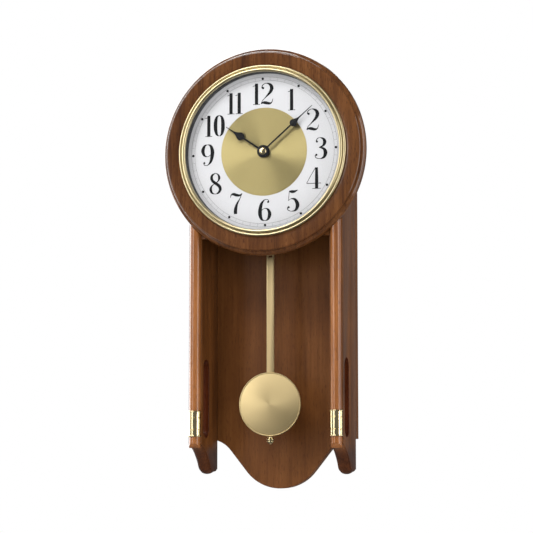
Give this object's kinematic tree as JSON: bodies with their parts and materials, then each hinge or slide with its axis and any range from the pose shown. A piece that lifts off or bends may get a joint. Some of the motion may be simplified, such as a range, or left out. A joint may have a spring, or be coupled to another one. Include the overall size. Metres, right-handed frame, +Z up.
{
  "type": "pendulum wall clock",
  "caption": "Wall clock with a round wooden head, brass-rimmed dial, open trunk with shaped side boards, and a swinging disc pendulum.",
  "frame": {"origin": "on the wall plane, on the axis of the nail that the keyhole plate hangs on", "axes": "+Z up, +Y into the wall, the dial faces -Y, +X to the viewer's right"},
  "size_m": [0.24, 0.0964, 0.5044],
  "materials": {
    "walnut_wood": "brown stained wood under satin lacquer",
    "panel_wood": "brown stained veneer under satin lacquer",
    "inner_wood": "plain board",
    "brass": "bright lacquered brass",
    "brushed_brass": "sunray brushed brass",
    "dial_white": "silver-white satin dial",
    "dial_gold": "sunray brushed gold",
    "black_plastic": "satin black plastic",
    "black_metal": "black lacquered metal",
    "clear_glass": "clear flat glass",
    "grey_plastic": "moulded dark grey plastic",
    "white_plastic": "moulded natural acetal",
    "steel": "bright zinc plated steel",
    "copper_coil": "enamelled copper winding",
    "circuit_green": "solder-masked circuit board",
    "magnet_grey": "sintered ferrite",
    "paper_cone": "pressed paper cone",
    "cell_sleeve": "plain printed cell sleeve",
    "felt": "dark felt"
  },
  "bodies": {
    "case": {"head_ring": "walnut_wood", "left_side_board": "walnut_wood", "right_side_board": "walnut_wood", "left_edge_moulding": "walnut_wood", "right_edge_moulding": "walnut_wood", "back_panel": "panel_wood", "left_ferrule": "brass", "right_ferrule": "brass", "case_screws": "steel", "top_board": "inner_wood", "movement_board": "inner_wood", "dial_bezel": "brass", "dial_glass": "clear_glass", "inner_ring": "black_plastic", "dial_plate": "dial_white", "dial_centre_disc": "dial_gold", "dial_support": "inner_wood", "movement_front_case": "grey_plastic", "movement_rear_case": "grey_plastic", "centre_bush": "brass", "bush_nut": "brass", "motor_coil": "copper_coil", "motor_stator": "steel", "movement_circuit_board": "circuit_green", "pendulum_drive_case": "grey_plastic", "pivot_pin": "steel", "drive_coil": "copper_coil", "speaker_frame": "steel", "speaker_cone": "paper_cone", "speaker_magnet": "magnet_grey", "battery_tray": "black_plastic", "battery_cells": "cell_sleeve", "battery_contacts": "steel", "control_board": "circuit_green", "board_components": "black_plastic", "rear_cover": "grey_plastic", "cover_screws": "steel", "hanger_plate": "steel", "hanger_screws": "steel", "wall_pads": "felt"},
    "minute_body": {"centre_arbor": "brass", "minute_hand": "black_metal", "hand_cap": "brass"},
    "hour_body": {"hour_wheel": "white_plastic", "hour_hand": "black_metal"},
    "setting_body": {"minute_wheel": "white_plastic", "setting_knob": "black_plastic"},
    "pendulum": {"pendulum_arm": "black_plastic", "arm_magnet": "magnet_grey", "pendulum_rod": "brass", "pendulum_bob": "brushed_brass", "bob_guide": "brass"},
    "rating_nut_body": {"rating_nut": "brass"},
    "volume_body": {"volume_knob": "black_plastic"},
    "selector_body": {"chime_selector": "black_plastic"},
    "test_button_body": {"chime_test_button": "black_plastic"},
    "battery_door_body": {"battery_door": "grey_plastic"}
  },
  "joints": [
    {"name": "minute_turn", "type": "hinge", "parent": "case", "child": "minute_body", "pos_m": [0, -0.0915, -0.072], "axis": [0, 1, 0], "continuous": true},
    {"name": "hour_turn", "type": "hinge", "parent": "case", "child": "hour_body", "pos_m": [0, -0.0915, -0.072], "axis": [0, 1, 0], "continuous": true},
    {"name": "setting_turn", "type": "hinge", "parent": "case", "child": "setting_body", "pos_m": [0, -0.0915, -0.087], "axis": [0, 1, 0], "continuous": true},
    {"name": "pendulum_swing", "type": "hinge", "parent": "case", "child": "pendulum", "pos_m": [0, -0.0545, -0.134], "axis": [0, 1, 0], "range_deg": [-7, 7]},
    {"name": "rating_nut_turn", "type": "hinge", "parent": "pendulum", "child": "rating_nut_body", "pos_m": [0, -0.0545, -0.401], "axis": [0, 0, 1], "continuous": true},
    {"name": "volume_turn", "type": "hinge", "parent": "case", "child": "volume_body", "pos_m": [-0.034, -0.0065, -0.117], "axis": [0, 1, 0], "range_deg": [-135, 135]},
    {"name": "selector_slide", "type": "slide", "parent": "case", "child": "selector_body", "axis": [1, 0, 0], "range_m": [-0.003, 0.003]},
    {"name": "test_button_press", "type": "slide", "parent": "case", "child": "test_button_body", "axis": [0, -1, 0], "range_m": [0, 0.0012], "stiffness_N_per_m": 400, "springref_m": -0.0005},
    {"name": "battery_door_hinge", "type": "hinge", "parent": "case", "child": "battery_door_body", "pos_m": [0.0525, -0.003, -0.066], "axis": [0, 0, -1], "range_deg": [0, 95]}
  ],
  "couplings": [
    {"joint": "hour_turn", "follows": "minute_turn", "ratio": 0.083333},
    {"joint": "setting_turn", "follows": "minute_turn", "ratio": -0.33333}
  ]
}
